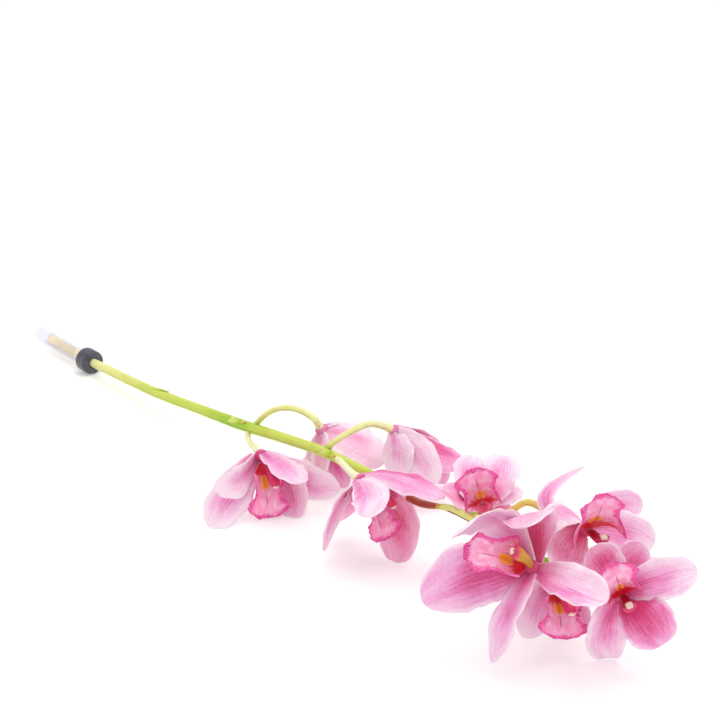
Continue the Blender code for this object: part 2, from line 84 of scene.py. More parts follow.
# Rachis: x, y and z of its centre line, and its radius; the cut end lies in the tube
RACHIS = (
    (14, 0, AXIS_HEIGHT, 3.2), (40, 0, AXIS_HEIGHT, 3.2), (67, 0, AXIS_HEIGHT, 3.2),
    (94, 0, 9.9, 3.4), (120, 0, 11.2, 3.4), (157, 0, 13.8, 3.4), (203, 0, 19.4, 3.4),
    (248, 0, 25.0, 3.7), (289, 0, 31.6, 3.4), (328, 0, 37.4, 3.2), (350, 0, 38.6, 3.0),
    (372, 1, 39.0, 2.6), (389, 4, 35.4, 2.4), (407, 5, 34.0, 2.3), (419, 3, 37.2, 2.2),
    (432, 0, 42.6, 1.6), (441, 0, 45.2, 2.2), (455, 0, 45.8, 2.4), (480, 2, 44.0, 2.2),
    (504, 4, 41.5, 1.7), (528, 8, 39.0, 1.2),
)
RACHIS_RINGS = 240
RACHIS_SIDES = 24
RACHIS_CAD_RINGS = 27

# The drawn stems' radii against those of their solids' corners
RACHIS_SLIM = 0.985
PEDICEL_SLIM = 0.97

# Bracts that clasp the rachis: where each starts, which way it leans (y, z) and its length
BRACTS = ((150, (0.5, 1.0), 15), (239, (-0.6, 1.0), 17), (331, (-0.9, 0.8), 14),
          (474, (-0.5, 1.0), 12))
BRACT_FLATNESS = 0.4
BRACT_RINGS = 16

# Pedicels, with the ovary as their thicker end
PEDICEL_RADII = (1.9, 1.95, 2.1, 2.4, 2.7)
PEDICEL_CAD_RINGS = 10
PEDICEL_RINGS = 70
PEDICEL_SIDES = 18

# Sizes that every bloom shares
GAP = 0.3
BLADE = 1.0
TABLE_GAP = 0.1
TABLE_SOFTNESS = 0.6
BOSS_RADIUS = 3.7
HEART_RADII = (3.4, 4.3, 4.3)
ROOT_RING = 2.6
ROOT_SET_BACK = 0.8

# A tepal: how far out its belly lies, what is left of its width at its root and at its tip, and
# how its hollow grows and fades along it (its start, and its shares of s and s squared)
TEPAL_BELLY = 1.22
TEPAL_ROOT = 0.34
TEPAL_TIP = 0.07
TEPAL_CUP = (0.4, 2.6, -2.2)

# Waves along a tepal's edges: turns, shift by its seed, lag of each edge, and height; the bays
# change its half width, the others lift its margin
TEPAL_BAYS = ((2.7, 5, 1.1, 0.035), (6.1, 3, 2.3, 0.014))
TEPAL_WAVES = ((2.3, 1, 1.4, 1.0), (5.2, 3, 2.6, 0.5))

# How high a tepal's margin waves and how far it rolls back, against its width
MARGIN_WAVE = 0.085
MARGIN_ROLL = 0.09

# Lip: half width of its claw, then half width, place and reach along it of its two kinds of lobe;
# where its round end would close, and how long that end is
LIP_CLAW = 2.4
LIP_SIDE_LOBES = (13.0, 0.36, 0.23)
LIP_MIDDLE_LOBE = (11.0, 0.82, 0.19)
LIP_END = 1.02
LIP_ROUNDING = 0.2
LIP_CURL = 0.35
LIP_CUP = 1.25

# Frills of the lip's sides and of its tip: rate, lag and share of the height
LIP_FRILL = 0.45
LIP_FRILLS = ((95, 2.0, 1.0), (57, 4.0, 0.7))
LIP_TIP_FRILLS = ((13, 0.6, 1.0), (29, 0.0, 0.5))
LIP_TIP_START = 0.84
SIDE_LOBE_FRILL = 0.5

# From where along the lip its end is coloured as its edge is
LIP_FRONT = 0.72

# The lip's midline, ahead of the heart and below it, and how many steps it is divided into
LIP_STEPS = 40
LIP_ROUTE = ((5.2, 2.45), (9.5, 7.5), (15, 11.5), (21.5, 15.5), (27, 21), (29.5, 29))

# Column: route, radii, and width and height against them; then the anther cap's place, radii and
# crease (depth, width)
COLUMN_ROUTE = ((4.2, 0.0), (10, 0.4), (16, 0.3), (21, -0.6), (24, -1.6), (25.8, -2.3),
                (26.8, -2.7))
COLUMN_RADII = (2.2, 2.5, 3.0, 3.6, 3.5, 2.6, 1.2)
COLUMN_RINGS = 40
COLUMN_SIDES = 26
COLUMN_GIRTH = (0.97, 0.8)
ANTHER_PLACE = (24.7, -2.2)
ANTHER_RADII = (2.6, 2.1, 2.5)
ANTHER_CREASE = (0.05, 0.2)

# How finely blades are divided, along and across, how a tepal's rows crowd at its root and the
# lip's columns at its midline, and how finely balls are divided
BALL_GRID = (18, 26)
TEPAL_GRID = (46, 25)
TEPAL_CROWDING = 1.05
LIP_GRID = (72, 49)
LIP_CROWDING = 1.3

# Steps between the seeds that vary each tepal's and lip's waves and veins, and the hearts' seed
BLOOM_SEED = 0.37
TEPAL_SEED = 0.21
LIP_SEED = 0.13
HEART_SEED = 0.5

# Colours as they look, red, green and blue out of 255
PETAL_RAMP = ((0.0, (246, 220, 234)), (0.3, (241, 190, 219)), (0.65, (232, 142, 194)),
              (1.0, (212, 80, 142)))
ROSE_RAMP = ((0.0, (246, 214, 224)), (0.3, (242, 180, 204)), (0.65, (232, 128, 168)),
             (1.0, (214, 66, 110)))
# The deep pink at the root of the inner face: partly the tepals' own colour, partly painted shade
# of the hollow
PETAL_ROOT_AND_SHADE = (208, 56, 100)
PETAL_RIM = (249, 226, 238)
LIP_INSIDE = (255, 176, 212)
LIP_DEEP = (250, 152, 192)
LIP_VEIN = (222, 88, 152)
LIP_OUTSIDE = (240, 168, 200)
LIP_PALE = (248, 200, 216)
LIP_MARGIN = (232, 62, 152)
LIP_SPOT = (160, 16, 84)
LIP_KEEL = (250, 160, 52)
LIP_LINE = (150, 24, 60)
THROAT = (220, 24, 48)
COLUMN_BACK = (220, 28, 100)
COLUMN_DEEP = (206, 40, 90)
# The column's underside, also used as painted shade on an anther cap in the throat
COLUMN_UNDER_AND_SHADE = (168, 20, 50)
COLUMN_GOLD = (206, 158, 48)
ANTHER = (252, 220, 206)
ANTHER_ROSY = (250, 184, 166)
STEM_FLECK = (120, 150, 20)
STEM_ORANGE_AND_GLOW = (255, 222, 170)
UNLIT = (0, 0, 0)
TUBE_PLASTIC = (214, 210, 238)
WATER = (240, 244, 246)
RUBBER = (58, 58, 70)
RUBBER_WORN = (84, 84, 100)

# How much darker the haze in the tube and in the water is
HAZE_STEP = 14

# How brightly the orange cut end glows with painted light, and how far red, green and blue soak
# into tissue
STEM_PAINTED_GLOW = 0.5
SOAK = (1.0, 0.45, 0.7)

# Surroundings: the pale table, the light all round and one large lamp
FLOOR_REACH = 12.0
FLOOR_DROP = 0.0002
FLOOR_TONE = 0.86
SKY = (1.0, 0.995, 0.99, 1)
LAMP_PLACE = (0.1, 0.35, 1.3)
LAMP_AIM = (0.15, 0.0, 0.0)

# Every bloom by its name
BLOOMS = {}


def unit(vectors):
    return np.asarray(vectors, float) / np.linalg.norm(vectors, axis=-1, keepdims=True)


def seen(right, up, near):
    """The part's direction for a direction given as it is seen."""
    ca, sa = math.cos(SEEN_AZIMUTH), math.sin(SEEN_AZIMUTH)
    ce, se = math.cos(SEEN_ELEVATION), math.sin(SEEN_ELEVATION)
    across, level, height = np.array([(ca, sa, 0.0), (-sa, ca, 0.0), (0.0, 0.0, 1.0)])
    return across * right + (level * se + height * ce) * up + (height * se - level * ce) * near


def bloom(name, at, facing, dorsal, lip, leaves, passes, tepals):
    """A bloom: the point where its tepals meet, the way it faces, where its dorsal side points,
    its lip's length, side lobes and middle lobe against the usual, the rachis x that its
    pedicel leaves from, the points that the pedicel passes, and its tepals.
    """
    facing = unit(seen(*facing))
    dorsal = seen(*dorsal)
    dorsal = unit(dorsal - facing * dorsal.dot(facing))
    side = np.cross(dorsal, facing)
    BLOOMS[name] = SimpleNamespace(at=np.array(at, float), facing=facing, dorsal=dorsal, side=side,
                                   lip=lip, leaves=leaves, passes=passes,
                                   tepals=[tepal(*row) for row in tepals])


def tepal(middle, tip, face, tint, width=11.0, cup=0.4, blunt=0.47):
    """A tepal by its middle and its tip, as seen from where the tepals meet, and its inner side.
    Its tint runs from pale (0) to deep (1) and from mauve (0) to rose (1), and says where across
    it the deepest pink lies (0 is the midrib). The smaller blunt is, the rounder are its ends.
    """
    return SimpleNamespace(middle=middle, tip=tip, face=face, tint=tint, width=width, cup=cup,
                           blunt=blunt)


bloom("a", (303, -26, 33), (0.42, -0.6, 0.68), (0.33, 0.8, 0.5), (0.92, 1.0, 1.1),
      258, [(261, -4, 23), (270, -9, 23), (283, -16, 28)], [
    ((15, -4, 13), (27, -15, 24), (-0.1, -0.8, -0.4), (0.5, 0, -0.3), 11, 0.5),  # dorsal
    ((-12, -14, 15), (-25, -14, 26), (0.1, -0.35, 0.9), (0.1, 0, 0), 10),  # petal
    ((-17, -23, 10), (-30, -41, 16), (0.3, 0.1, 0.9), (0.14, 0, 0), 13),  # sepal
    ((17, -22, -3), (15, -41, 0), (-0.3, 0.2, 0.9), (0.36, 0.5, 0), 12.5),  # sepal
    ((24, -13, -3), (48, -21, -4), (-0.2, -0.3, 0.9), (0.3, 0.1, 0.2), 12),  # petal
])
bloom("b", (307, 19, 37), (0.1, -0.5, -0.86), (0.3, 0.9, 0.2), (0.75, 0.7, 0.65),
      261, [(270, 4, 39), (281, 8, 46), (293, 12, 48), (302, 15.5, 45)], [
    ((21, -7, 4), (40, -19, 2), (0.3, -0.7, -0.6), (0.2, 0.3, 0), 16),  # dorsal
    ((9, 4, -14), (15, 2, -34), (0.1, -0.9, -0.2), (0.3, 0.2, 0), 9),  # petal
    ((-1, -15, 8), (-5, -34, 8), (0.6, -0.2, -0.7), (0.3, 0.2, 0), 8),  # petal
    ((8, -19, 0), (15, -36, 0), (-0.3, 0.2, 0.9), (0.55, 0.3, 0), 8),  # sepal
    ((-3, -19, 2), (-4, -37, -2), (0.1, 0.2, -0.9), (0.5, 0.3, 0), 8),  # sepal
])
bloom("c", (351, 40, 46), (0.7, -0.6, -0.38), (0.7, 0.7, 0.0), (0.85, 0.85, 0.8),
      332, [(337, 3, 45), (342, 12, 51), (344, 25, 53)], [
    ((24, -13, 1), (43, -18.5, -6), (-0.1, -0.55, -0.75), (0.85, 0.1, 0.4), 10.5, 0.5),  # dorsal
    ((14, -14, 8), (23, -33, 8), (0.2, -0.2, -0.9), (0.24, 0, 0), 11, 0.5),  # petal
    ((1, -13, 8), (1, -30, 2), (0.4, -0.1, -0.9), (0.28, 0, 0), 11, 0.5),  # sepal
    ((22, -12, -22), (29, -36, -34), (-0.2, -0.3, 0.9), (0.5, 0.5, 0), 10),  # petal
    ((4, -8, -24), (7, -16, -44), (0, 0.2, 0.9), (0.5, 0.5, 0), 10),  # sepal
])
bloom("d", (385, -17, 46), (0.75, -0.45, 0.48), (0.35, 0.85, 0.25), (0.86, 1.2, 1.42),
      342, [(350, -3, 40), (362, -9, 43)], [
    ((23, 2, 9), (46, -8, 26), (-0.1, -0.85, -0.5), (0.75, 0, 0.7), 11, 0.5),  # dorsal
    ((5, -6, 23), (0, -17, 34), (0.2, -0.4, -0.9), (0.42, 0, -0.4)),  # petal
    ((-6, -12, -10), (-12, -26, -28), (0.5, 0.3, 0.8), (0.5, 0.5, 0)),  # petal
    ((-14, -17, 0), (-21, -41, -6), (0.85, 0.2, 0.45), (0.3, 0.1, 0), 7),  # sepal
    ((20, -22, -10), (20.5, -48, -5), (-0.3, 0.1, 0.95), (0.5, 1.0, 0), 13.5, 0.4, 0.34),  # sepal
])
bloom("e", (453, 15, 44), (-0.1, 0.12, 0.98), (0.25, -0.95, 0.15), (0.75, 1.05, 0.9),
      438, [(444, 6, 41)], [
    ((11, -4, -8), (22, -5, -22), (-0.2, 0.5, 0.8), (0.7, 0.8, 0), 10),  # dorsal
    ((11, 9, -10), (22, 10, -26), (-0.3, 0.2, 0.9), (0.3, 0.1, 0), 10, 0.4, 0.7),  # petal
    ((9, 19, -8), (11.5, 29, -22), (-0.2, -0.2, 0.95), (0.25, 0.1, 0), 11),  # sepal
    ((-6, 16, -6), (-4.5, 28.5, -18), (0.2, -0.4, 0.9), (0.35, 0.2, 0), 12),  # sepal
    ((-12, 5, 0), (-24, 11, 8), (0.2, 0.7, 0.6), (0.5, 0.5, 0), 10, 0.5),  # petal
])
bloom("f", (520, -18, 51), (-0.38, 0.42, 0.82), (0.92, 0.1, 0.37), (0.95, 1.1, 0.72),
      484, [(498, -2, 41)], [
    ((17, -5, 24), (32, -11.5, 40), (-0.2, 0.5, 0.8), (0.3, 0, 0.6)),  # dorsal
    ((-1, 26, 0), (-9, 22, 22), (0, -0.76, 0.65), (0.6, 0.5, 0), 14, 0.3),  # petal
    ((-12, -20, 12), (-21, -48.5, 0), (-0.85, 0.1, 0.5), (0.35, 0, 0), 10.5, 0.4, 0.6),  # petal
    ((-28.5, -3.5, 0), (-56, -18.5, -6), (-0.1, 0.35, 0.9), (0.6, 0, 0), 17.5, 0.3),  # sepal
    ((-19, 25, -1), (-42, 17, 16), (-0.3, -0.6, 0.75), (0.08, 0, 0), 13, 0.5),  # sepal
])
bloom("g", (520, 23, 58), (0.2, -0.17, 0.96), (0.1, -0.98, -0.16), (0.9, 1.5, 0.85),
      464, [(471, 9, 49), (483, 15, 61), (496, 18, 59.5), (508, 19, 51)], [
    ((-11.5, -10.5, 4.5), (-15.5, -21.5, 11), (0.4, 0.2, 0.8), (0.36, 0.7, 0), 14.5),  # dorsal
    ((18.5, -3, -9), (38, -9, -14), (-0.2, 0.1, 0.95), (0.26, 0, 0), 12, 0.3, 0.42),  # petal
    ((15, 9.5, -14), (33, 9.5, -22), (-0.2, -0.1, 0.95), (0.4, 0.1, 0), 9.5, 0.3, 0.38),  # sepal
    ((-21, 15, -9), (2, 31, -26), (0.3, -0.4, -0.8), (0.5, 0.2, 0), 5),  # sepal
    ((-15, 10, 11), (-30, -5, 14), (0.3, -0.5, -0.7), (0.35, 0.2, 0), 9, 0.5),  # petal
])
bloom("h", (553, 14.5, 36.5), (0.02, -0.15, 0.99), (0.42, -0.9, -0.13), (0.95, 0.95, 0.85),
      512, [(530, 12, 36), (542, 13, 33)], [
    ((10, -11, 14), (18, -23.5, 12), (-0.3, 0.3, 0.9), (0.72, 0.2, 0), 14),  # dorsal
    ((16, 10, 14), (36, 14, 12), (-0.3, -0.1, 0.95), (0.26, 0, 0), 11.3),  # petal
    ((-8, -18, -1), (-4, -36.5, -13), (0.1, 0.4, 0.9), (0.3, 0.1, 0)),  # petal
    ((4, 16, 2), (11, 26, 4), (-0.2, -0.5, 0.85), (0.5, 0.5, 0)),  # sepal
    ((-10, 17, 5), (-18, 26, 13), (0.3, -0.5, 0.8), (0.5, 0.5, 0)),  # sepal
])
bloom("i", (519, 0, 32), (0.28, -0.33, 0.9), (0.22, 0.94, 0.27), (0.65, 1.1, 1.15),
      498, [(508, 7, 37)], [
    ((10, 1, -16), (20, -6, -26), (-0.3, 0.2, 0.9), (0.4, 0.5, 0), 9),  # dorsal
    ((10, -14, 0), (16, -24, 4), (-0.3, 0.2, 0.9), (0.4, 0.5, 0), 9),  # petal
    ((-9, -4, -8), (-18, -8, -20), (0.3, 0.2, 0.9), (0.05, 0, 0), 10),  # petal
    ((4, -12, -16), (8, -21, -34), (0.0, 0.4, 0.9), (0.3, 0.3, 0), 9),  # sepal
    ((-10, -11, 6), (-15, -26, 9), (0.3, 0.1, 0.9), (0.02, 0, 0), 11),  # sepal
])


def smooth_path(points, count):
    """Points along a smooth curve through the given ones, ends included."""
    pts = [np.asarray(p, float) for p in points]
    pts = [2 * pts[0] - pts[1]] + pts + [2 * pts[-1] - pts[-2]]
    spans = len(pts) - 3
    out = []
    for k in range(count):
        at = k / (count - 1) * spans
        i = min(int(at), spans - 1)
        t = at - i
        p0, p1, p2, p3 = pts[i:i + 4]
        out.append(0.5 * (2 * p1 + (p2 - p0) * t + (2 * p0 - 5 * p1 + 4 * p2 - p3) * t ** 2
                          + (3 * p1 - p0 - 3 * p2 + p3) * t ** 3))
    return np.array(out)


# From the design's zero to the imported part's, in millimetres, read off the rubber cap
CAP_LOW, CAP_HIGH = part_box("rubber_cap")
SHIFT = np.array([CAP_LOW.x / MM - CAP_START, (CAP_LOW.y + CAP_HIGH.y) / 2 / MM, 0.0])


def linear(colour):
    """A colour out of 255, as it looks, turned into the linear values that shaders take."""
    out = []
    for value in colour:
        c = value / 255
        out.append(c / 12.92 if c <= 0.04045 else ((c + 0.055) / 1.055) ** 2.4)
    return (*out, 1.0)


def add_object(name, data):
    made = bpy.data.objects.new(name, data)
    bpy.context.scene.collection.objects.link(made)
    return made


# Meshes: a part has points, faces and per-point values, and a piece joins several parts

def part_of(points, faces, look=0, **values):
    count = len(points)
    filled = {key: np.broadcast_to(value, count) for key, value in values.items()}
    return SimpleNamespace(points=np.asarray(points, float), faces=faces, look=look, values=filled)


def make_piece(name, parts, materials, node):
    """One mesh from the parts, which stands for a CAD node and rides on the frame."""
    verts, faces, looks = [], [], []
    start = 0
    for part in parts:
        verts.append((part.points + SHIFT) * MM)
        faces += [tuple(v + start for v in face) for face in part.faces]
        looks += [part.look] * len(part.faces)
        start += len(part.points)
    mesh = bpy.data.meshes.new(name)
    mesh.from_pydata(np.concatenate(verts).tolist(), [], faces)
    mesh.update()
    for mat in materials:
        mesh.materials.append(mat)
    mesh.polygons.foreach_set("material_index", looks)
    for key in sorted({key for part in parts for key in part.values}):
        rows = [part.values.get(key, np.zeros(len(part.points))) for part in parts]
        mesh.attributes.new(key, "FLOAT", "POINT").data.foreach_set(
            "value", np.concatenate(rows).astype(np.float32))
    mesh.shade_smooth()
    obj = add_object(name, mesh)
    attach(obj, "root")
    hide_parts(node)


def normals_of(surface, s, v):
    step = 1e-3
    along = surface(np.clip(s + step, 0, 1), v) - surface(np.clip(s - step, 0, 1), v)
    across = surface(s, v + step) - surface(s, v - step)
    return unit(np.cross(across, along))


def blade_part(surface, rows, columns, above, below, inner_above, seed, **values):
    """A closed blade round surface(s, v), above and below it by the given thickness; its value
    inner is 1 on the bloom's inner side and 0 on the other one.
    """
    s, v = np.meshgrid(rows, columns, indexing="ij")
    middle = surface(s, v)
    normal = normals_of(surface, s, v)
    points = np.concatenate([(middle + normal * above(s, v)[..., None]).reshape(-1, 3),
                             (middle - normal * below(s, v)[..., None]).reshape(-1, 3)])
    n, m = s.shape
    under = n * m
    faces = []
    for i in range(n - 1):
        for j in range(m - 1):
            a, d = i * m + j, i * m + m + j
            faces.append((a, a + 1, d + 1, d))
            faces.append((a + under, d + under, d + 1 + under, a + 1 + under))
    rim = list(range(m)) + [i * m + m - 1 for i in range(1, n)]
    rim += [(n - 1) * m + j for j in range(m - 2, -1, -1)] + [i * m for i in range(n - 2, 0, -1)]
    for a, b in zip(rim, rim[1:] + rim[:1]):
        faces.append((a, a + under, b + under, b))
    inner = np.repeat([float(inner_above), 1.0 - inner_above], under)
    along, across = (np.tile(value.reshape(-1), 2) for value in (s, v))
    return part_of(points, faces, along=along, across=across, inner=inner, seed=seed, **values)


def ring_faces(rings, sides, spans):
    """Faces between each ring of points and the next, for the given number of spans."""
    faces = []
    for i in range(spans):
        here, there = i * sides, (i + 1) % rings * sides
        for k in range(sides):
            m = (k + 1) % sides
            faces.append((here + k, there + k, there + m, here + m))
    return faces


def table_clear(points):
    """Tissue that would sink into the table lies flat on it instead."""
    floor = BLADE / 2 + TABLE_GAP
    height = (points[..., 2] - floor) / TABLE_SOFTNESS
    out = points.copy()
    out[..., 2] = floor + TABLE_SOFTNESS * np.logaddexp(0, height)
    return out


# Tepals: the three sepals and two petals of a bloom

def tepal_outline(t, width, blunt):
    """Half width along a tepal: narrow root, widest past the middle, rounded tip."""
    body = np.clip(np.sin(np.pi * np.clip(t, 0, 1) ** TEPAL_BELLY), 0, 1) ** blunt
    return width * np.sqrt(body ** 2 + (TEPAL_ROOT * (1 - t)) ** 2 + TEPAL_TIP ** 2)


def tepal_surface(bl, spec, seed):
    """A tepal round a bent midline: hollow towards its inner side, ribbed, with a waved margin."""
    middle = bl.at + seen(*spec.middle)
    tip = bl.at + seen(*spec.tip)
    out = middle - bl.at
    out = unit(out - bl.facing * out.dot(bl.facing))
    start = bl.at + out * ROOT_RING - bl.facing * ROOT_SET_BACK
    pull = 2 * middle - (start + tip) / 2
    side = unit(np.cross(tip - start, seen(*spec.face)))

    def surface(s, v):
        t = s[..., None]
        centre = (1 - t) ** 2 * start + 2 * t * (1 - t) * pull + t ** 2 * tip
        tangent = unit(2 * (1 - t) * (pull - start) + 2 * t * (tip - pull))
        across = unit(side - tangent * (tangent * side).sum(-1, keepdims=True))
        inner = np.cross(across, tangent)
        half = tepal_outline(s, spec.width, spec.blunt) * tepal_margin(s, v, seed)
        cup = spec.cup * (TEPAL_CUP[0] + TEPAL_CUP[1] * s + TEPAL_CUP[2] * s * s)
        x = half * np.sin(cup * v) / cup
        z = half * (1 - np.cos(cup * v)) / cup
        z = z + tepal_ripple(s, v, seed, spec.width)
        return table_clear(centre + across * x[..., None] + inner * z[..., None])
    return surface


def edge_waves(s, v, seed, waves):
    """Waves along both edges, those on one side shifted against those on the other."""
    return sum(height * np.sin(2 * np.pi * (turns * s + shift * seed) + lag * np.sign(v))
               for turns, shift, lag, height in waves)


def tepal_margin(s, v, seed):
    """The uneven outline of a tepal, as a share of its half width."""
    return 1 + edge_waves(s, v, seed, TEPAL_BAYS) * np.abs(v) ** 3


def tepal_ripple(s, v, seed, width):
    """Waved and rolled margin, midrib groove and faint ribs, in mm towards the inner side."""
    belly = np.sin(np.pi * np.clip(s, 0, 1))
    margin = MARGIN_WAVE * width * np.abs(v) ** 3 * edge_waves(s, v, seed, TEPAL_WAVES) * belly
    rolled = -MARGIN_ROLL * width * np.abs(v) ** 8 * belly
    strength, turns, shift = 0.06, 0.8, 2
    twist = strength * width * v * np.sin(2 * np.pi * (turns * s + shift * seed)) * belly
    depth, reach, fade = 0.5, 0.09, 0.7
    groove = -depth * np.exp(-(v / reach) ** 2) * (1 - fade * s) * belly ** 0.5
    height, count = 0.1, 4.5
    ribs = height * np.cos(2 * np.pi * count * v) * (1 - v ** 2) * belly
    return margin + rolled + twist + groove + ribs


def tepal_half_thickness(s, v):
    edge, middle, root = 0.14, 0.28, 0.35
    return edge + middle * (1 - v ** 4) * (1 - s ** 6) + root * (1 - s) ** 8


def tepal_part(bl, spec, seed):
    flush, rose, lean = spec.tint
    return blade_part(tepal_surface(bl, spec, seed),
                      np.linspace(0, 1, TEPAL_GRID[0]) ** TEPAL_CROWDING,
                      np.linspace(-1, 1, TEPAL_GRID[1]), tepal_half_thickness,
                      tepal_half_thickness, True, seed, flush=flush, rose=rose, lean=lean)


# Lip

def frills_of(place, lag_by, waves):
    return sum(height * np.sin(rate * place + lag * lag_by) for rate, lag, height in waves)


def lip_surface(bl):
    """The lip: a claw, two side lobes that rise beside the column, and a waved middle lobe."""
    ahead_way, up_way, side_way = bl.facing, bl.dorsal, bl.side
    length, sides, middle = bl.lip
    side_half, side_place, side_reach = LIP_SIDE_LOBES
    front_half, front_place, front_reach = LIP_MIDDLE_LOBE
    route = smooth_path([(ahead, -below) for ahead, below in LIP_ROUTE], LIP_STEPS + 1)
    route = route[0] + (route - route[0]) * length
    runs = np.gradient(route, axis=0)

    def surface(s, v):
        at = np.clip(s, 0, 1) * LIP_STEPS
        low = np.minimum(at.astype(int), LIP_STEPS - 1)
        mix = (at - low)[..., None]
        flat = route[low] * (1 - mix) + route[low + 1] * mix
        run = unit(runs[low] * (1 - mix) + runs[low + 1] * mix)
        centre = bl.at + ahead_way * flat[..., :1] + up_way * flat[..., 1:]
        inner = up_way * run[..., :1] - ahead_way * run[..., 1:]
        lobes = np.exp(-((s - side_place) / side_reach) ** 2)
        front = np.exp(-((s - front_place) / front_reach) ** 2)
        rounded = np.sqrt(np.clip((LIP_END - s) / LIP_ROUNDING, 0, 1))
        half = LIP_CLAW + sides * side_half * lobes + middle * front_half * front * rounded
        curl = LIP_CURL + LIP_CUP * lobes
        x = half * np.sin(curl * v) / curl
        z = half * (1 - np.cos(curl * v)) / curl
        height, rate, lag = 1.3, 34.0, 1.3
        z = z + height * front * np.abs(v) ** 3 * np.sin(rate * s + lag * np.sign(v))
        frills = frills_of(s, np.sign(v), LIP_FRILLS)
        z = z + LIP_FRILL * (front + SIDE_LOBE_FRILL * lobes) * np.abs(v) ** 6 * frills
        near_tip = np.clip((s - LIP_TIP_START) / (1 - LIP_TIP_START), 0, 1) ** 2
        z = z + LIP_FRILL * near_tip * frills_of(v, 1, LIP_TIP_FRILLS)
        return table_clear(centre + side_way * x[..., None] + inner * z[..., None])
    return surface


def lip_outside(s, v):
    edge, middle = 0.15, 0.3
    return edge + middle * (1 - v ** 4) * (1 - s ** 8)


def lip_inside(s, v):
    """The inner face, with two keels raised from it."""
    start, run_in, end, run_out = 0.24, 0.03, 0.5, 0.022
    window = 1 / (1 + np.exp(-(s - start) / run_in)) / (1 + np.exp((s - end) / run_out))
    height, off_middle, width = 1.6, 0.11, 0.055
    keel = height * np.exp(-((np.abs(v) - off_middle) / width) ** 2) * window
    return lip_outside(s, v) + keel


def lip_part(bl, seed):
    even = np.linspace(-1, 1, LIP_GRID[1])
    columns = np.sign(even) * np.abs(even) ** LIP_CROWDING
    blade = blade_part(lip_surface(bl), np.linspace(0, 1, LIP_GRID[0]), columns,
                       lip_outside, lip_inside, False, seed)
    s, v = blade.values["along"], blade.values["across"]
    front = np.clip((s - LIP_FRONT) / (1 - LIP_FRONT), 0, 1)
    blade.values["edge"] = np.maximum(np.abs(v), front)
    return blade


# Round pieces: column, pedicels, rachis, tube

def loft_part(centres, radii, sides, up=(0, 0, 1), shape=None, **values):
    """A closed round body along centres. shape(angle, share) gives its width and height against
    the radii; share runs from 0 to 1 along it.
    """
    centres = np.asarray(centres, float)
    n = len(centres)
    tangents = unit(np.gradient(centres, axis=0))
    side = unit(np.cross(tangents, np.asarray(up, float)))
    high = np.cross(side, tangents)
    angle = np.linspace(0, 2 * np.pi, sides, endpoint=False)[None, :]
    share = np.linspace(0, 1, n)[:, None]
    width_by, height_by = shape(angle, share) if shape else (1.0, 1.0)
    radii = np.asarray(radii, float)[:, None] * np.ones((1, sides))
    points = (centres[:, None] + side[:, None] * (np.cos(angle) * (radii * width_by))[..., None]
              + high[:, None] * (np.sin(angle) * (radii * height_by))[..., None])
    faces = ring_faces(n, sides, n - 1)
    faces.append(tuple(range(sides)))
    faces.append(tuple(reversed(range((n - 1) * sides, n * sides))))
    top, along, turn = (np.broadcast_to(value, (n, sides)).reshape(-1)
                        for value in (np.sin(angle), share, angle / (2 * np.pi)))
    return part_of(points.reshape(-1, 3), faces, along=along, top=top, turn=turn, **values)


def ball_part(centre, axes, radii, crease=(0.0, 1.0), look=0, **values):
    """An egg with the given axes and radii; crease presses a line in along the first two axes."""
    centre = np.asarray(centre, float)
    rings, sides = BALL_GRID
    depth, width = crease
    points = []
    for i in range(rings + 1):
        a = math.pi * i / rings
        for k in range(sides):
            b = 2 * math.pi * k / sides
            unit_ball = (math.cos(a), math.sin(a) * math.cos(b), math.sin(a) * math.sin(b))
            dent = 1 - depth * math.exp(-(unit_ball[2] / width) ** 2)
            spread = sum(axis * at * radius for axis, at, radius in zip(axes, unit_ball, radii))
            points.append(centre + spread * dent)
    faces = [(a, d, c, b) for a, b, c, d in ring_faces(rings + 1, sides, rings)]
    return part_of(points, faces, look, **values)


def column_parts(bl, gold, shade):
    """The column, hollowed under its arch and winged near its end, and the anther cap."""
    route = smooth_path(COLUMN_ROUTE, COLUMN_RINGS)
    centres = [bl.at + bl.facing * a + bl.dorsal * b for a, b in route]
    radii = smooth_path([(r,) for r in COLUMN_RADII], COLUMN_RINGS)[:, 0]

    def shape(angle, share):
        depth, spread = 0.28, 0.5
        hollow = depth * np.exp(-((np.sin(angle) + 1) / spread) ** 2) * np.sin(np.pi * share)
        height, place, reach = 0.06, 0.6, 0.2
        wings = height * np.cos(angle) ** 4 * np.exp(-((share - place) / reach) ** 2)
        return COLUMN_GIRTH[0] + wings, COLUMN_GIRTH[1] * (1 - hollow)

    body = loft_part(centres, radii, COLUMN_SIDES, bl.dorsal, shape, gold=gold)
    ahead, up = ANTHER_PLACE
    cap = ball_part(bl.at + bl.facing * ahead + bl.dorsal * up,
                    (bl.facing, bl.dorsal, bl.side), ANTHER_RADII, ANTHER_CREASE,
                    look=1, shade=shade)
    return [body, cap]


# Stem: rachis, pedicels and bracts; tones run along them

def rachis_line(count):
    return smooth_path([row[:3] for row in RACHIS], count)


def rachis_radius(x):
    return np.interp(x, [row[0] for row in RACHIS], [row[3] for row in RACHIS])


def rachis_at(x):
    """Centre and radius of the rachis at a given x."""
    line = rachis_line(RACHIS_CAD_RINGS)
    y, z = (np.interp(x, line[:, 0], line[:, k]) for k in (1, 2))
    return np.array([x, y, z]), rachis_radius(x)


# Where along x the rachis takes which tone of the stem's ramp
RACHIS_TONES = (
    (14, 0.05), (54, 0.06), (66, 0.12), (80, 0.1), (105, 0.18), (140, 0.3), (200, 0.32),
    (228, 0.42), (236, 0.52), (256, 0.5), (264, 0.34), (300, 0.3), (366, 0.3), (378, 0.42),
    (386, 0.78), (396, 0.9), (404, 0.95), (430, 0.95), (435, 0.14), (462, 0.18), (490, 0.45),
    (528, 0.6),
)

# The run whose underside takes the ramp's last tone as painted shade, and over what length it
# starts and ends
SHADED_RUN = (437, 472)
SHADED_RUN_IN = 5
